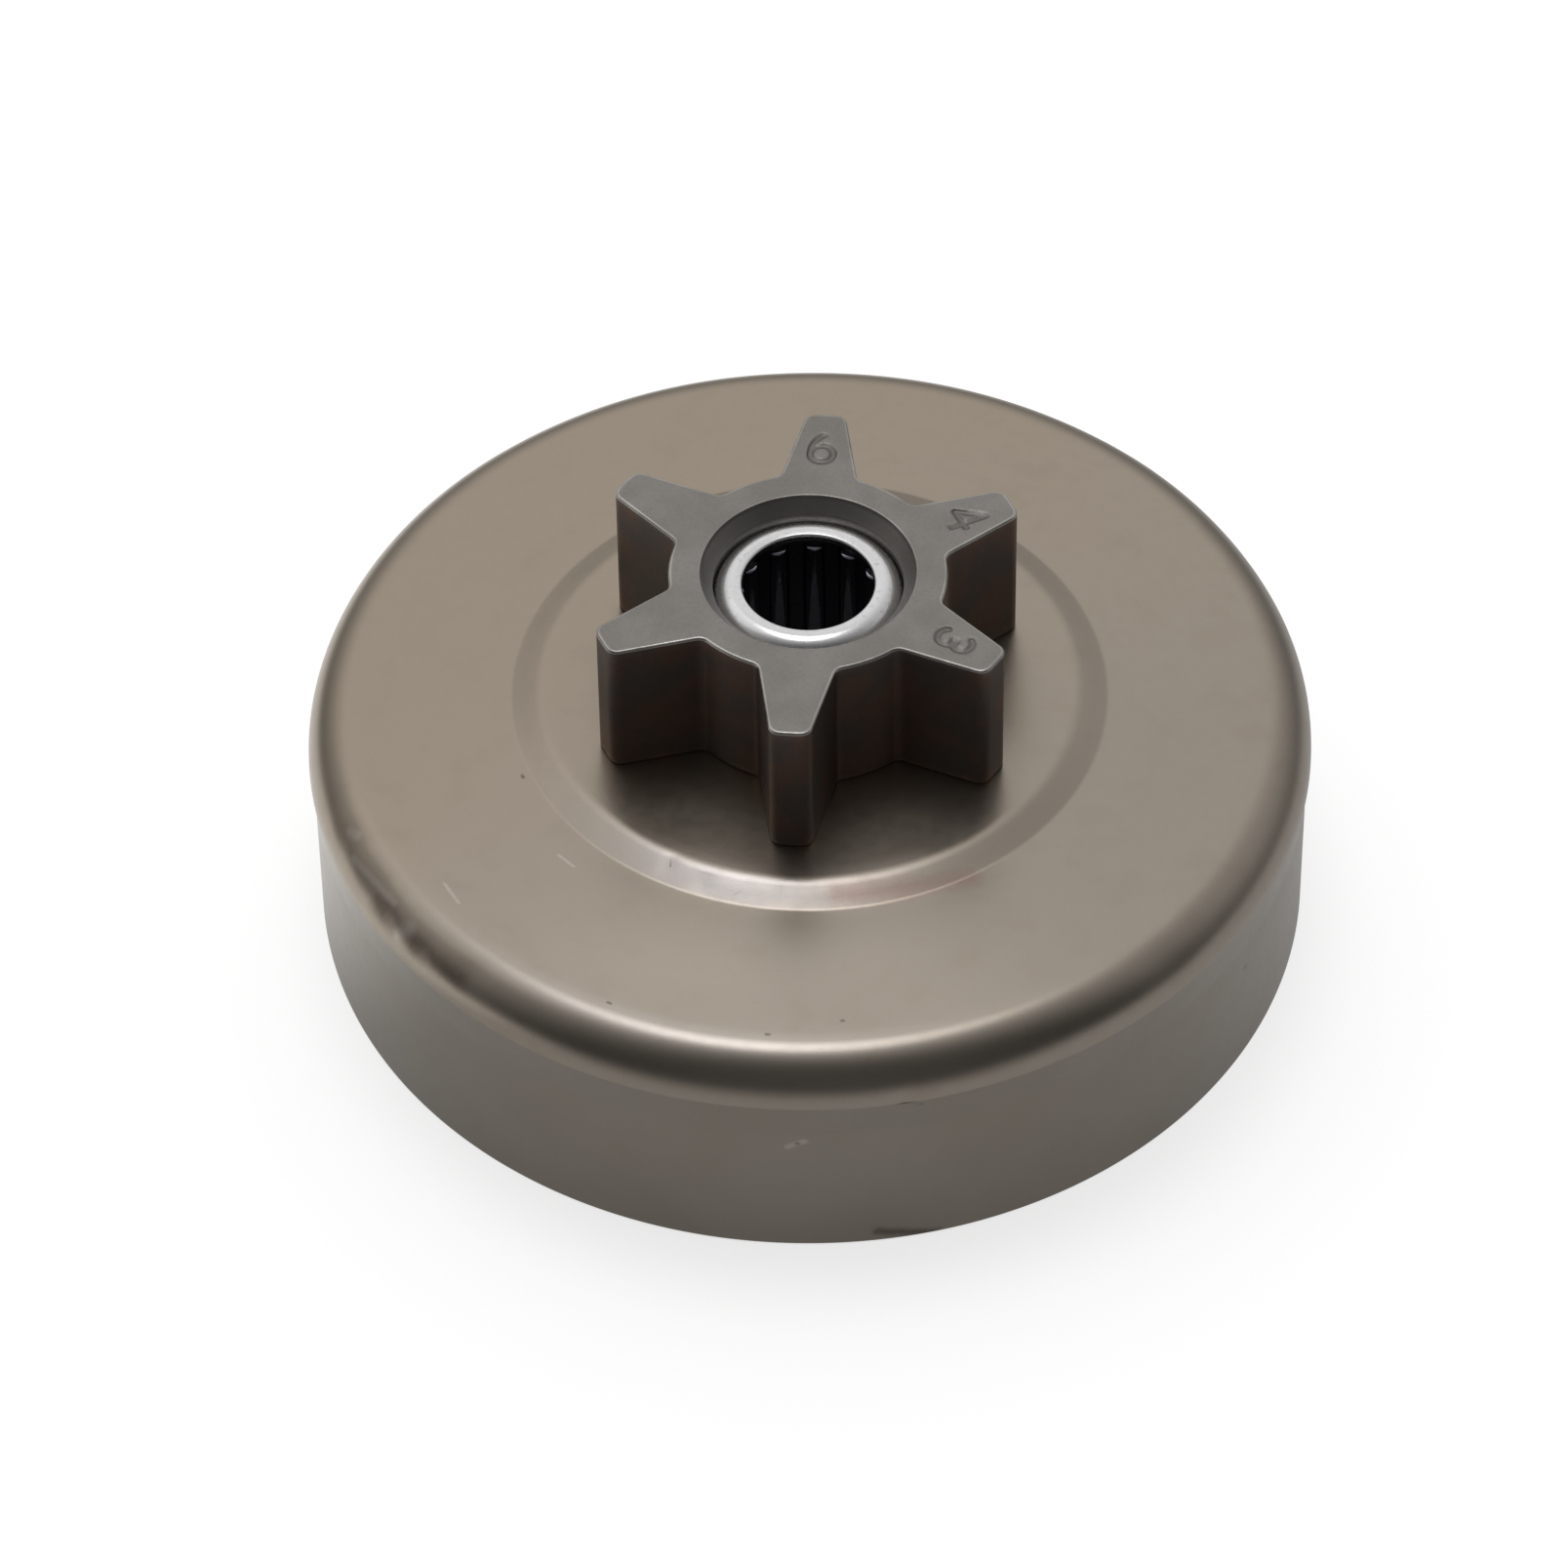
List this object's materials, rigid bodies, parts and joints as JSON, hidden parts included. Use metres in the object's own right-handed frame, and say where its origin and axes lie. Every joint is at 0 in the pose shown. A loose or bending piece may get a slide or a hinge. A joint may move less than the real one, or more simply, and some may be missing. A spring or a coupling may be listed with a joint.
{
  "type": "chainsaw clutch drum",
  "caption": "Pressed steel clutch drum for a chainsaw, with a spur sprocket on its face and a needle bearing in its hub; clutch shoes grip inside the cup and turn the chain.",
  "frame": {"origin": "middle of the open rim's plane, on the drum's axis", "axes": "+Z along the axis from the open rim to the sprocket's outer face; one sprocket tooth points along -Y"},
  "size_m": [0.064, 0.064, 0.0276],
  "materials": {
    "drum_steel": "satin drawn steel with a warm furnace tint, wall turned",
    "sprocket_steel": "matt hardened steel, edges burnished",
    "braze": "copper braze, smooth where it flowed",
    "shell_steel": "bright drawn bearing steel",
    "cage_steel": "phosphated sheet steel",
    "needle_steel": "ground and polished"
  },
  "bodies": {
    "root": {"drum_cup": "drum_steel", "spur_sprocket": "sprocket_steel", "braze_ring": "braze", "bearing_shell": "shell_steel"},
    "cage": {"bearing_cage": "cage_steel"},
    "roller_01": {"needle_01": "needle_steel"},
    "roller_02": {"needle_02": "needle_steel"},
    "roller_03": {"needle_03": "needle_steel"},
    "roller_04": {"needle_04": "needle_steel"},
    "roller_05": {"needle_05": "needle_steel"},
    "roller_06": {"needle_06": "needle_steel"},
    "roller_07": {"needle_07": "needle_steel"},
    "roller_08": {"needle_08": "needle_steel"},
    "roller_09": {"needle_09": "needle_steel"},
    "roller_10": {"needle_10": "needle_steel"},
    "roller_11": {"needle_11": "needle_steel"},
    "roller_12": {"needle_12": "needle_steel"}
  },
  "joints": [
    {"name": "cage_spin", "type": "hinge", "parent": "root", "child": "cage", "pos_m": [0, 0, 0.02074], "axis": [0, 0, 1], "continuous": true},
    {"name": "needle_spin_01", "type": "hinge", "parent": "cage", "child": "roller_01", "pos_m": [0.00475, 0, 0.02074], "axis": [0, 0, 1], "continuous": true},
    {"name": "needle_spin_02", "type": "hinge", "parent": "cage", "child": "roller_02", "pos_m": [0.00411, 0.00237, 0.02074], "axis": [0, 0, 1], "continuous": true},
    {"name": "needle_spin_03", "type": "hinge", "parent": "cage", "child": "roller_03", "pos_m": [0.00237, 0.00411, 0.02074], "axis": [0, 0, 1], "continuous": true},
    {"name": "needle_spin_04", "type": "hinge", "parent": "cage", "child": "roller_04", "pos_m": [0, 0.00475, 0.02074], "axis": [0, 0, 1], "continuous": true},
    {"name": "needle_spin_05", "type": "hinge", "parent": "cage", "child": "roller_05", "pos_m": [-0.00237, 0.00411, 0.02074], "axis": [0, 0, 1], "continuous": true},
    {"name": "needle_spin_06", "type": "hinge", "parent": "cage", "child": "roller_06", "pos_m": [-0.00411, 0.00237, 0.02074], "axis": [0, 0, 1], "continuous": true},
    {"name": "needle_spin_07", "type": "hinge", "parent": "cage", "child": "roller_07", "pos_m": [-0.00475, 0, 0.02074], "axis": [0, 0, 1], "continuous": true},
    {"name": "needle_spin_08", "type": "hinge", "parent": "cage", "child": "roller_08", "pos_m": [-0.00411, -0.00237, 0.02074], "axis": [0, 0, 1], "continuous": true},
    {"name": "needle_spin_09", "type": "hinge", "parent": "cage", "child": "roller_09", "pos_m": [-0.00237, -0.00411, 0.02074], "axis": [0, 0, 1], "continuous": true},
    {"name": "needle_spin_10", "type": "hinge", "parent": "cage", "child": "roller_10", "pos_m": [0, -0.00475, 0.02074], "axis": [0, 0, 1], "continuous": true},
    {"name": "needle_spin_11", "type": "hinge", "parent": "cage", "child": "roller_11", "pos_m": [0.00237, -0.00411, 0.02074], "axis": [0, 0, 1], "continuous": true},
    {"name": "needle_spin_12", "type": "hinge", "parent": "cage", "child": "roller_12", "pos_m": [0.00411, -0.00237, 0.02074], "axis": [0, 0, 1], "continuous": true}
  ],
  "couplings": [
    {"joint": "needle_spin_01", "follows": "cage_spin", "ratio": -7.3333},
    {"joint": "needle_spin_02", "follows": "cage_spin", "ratio": -7.3333},
    {"joint": "needle_spin_03", "follows": "cage_spin", "ratio": -7.3333},
    {"joint": "needle_spin_04", "follows": "cage_spin", "ratio": -7.3333},
    {"joint": "needle_spin_05", "follows": "cage_spin", "ratio": -7.3333},
    {"joint": "needle_spin_06", "follows": "cage_spin", "ratio": -7.3333},
    {"joint": "needle_spin_07", "follows": "cage_spin", "ratio": -7.3333},
    {"joint": "needle_spin_08", "follows": "cage_spin", "ratio": -7.3333},
    {"joint": "needle_spin_09", "follows": "cage_spin", "ratio": -7.3333},
    {"joint": "needle_spin_10", "follows": "cage_spin", "ratio": -7.3333},
    {"joint": "needle_spin_11", "follows": "cage_spin", "ratio": -7.3333},
    {"joint": "needle_spin_12", "follows": "cage_spin", "ratio": -7.3333}
  ]
}
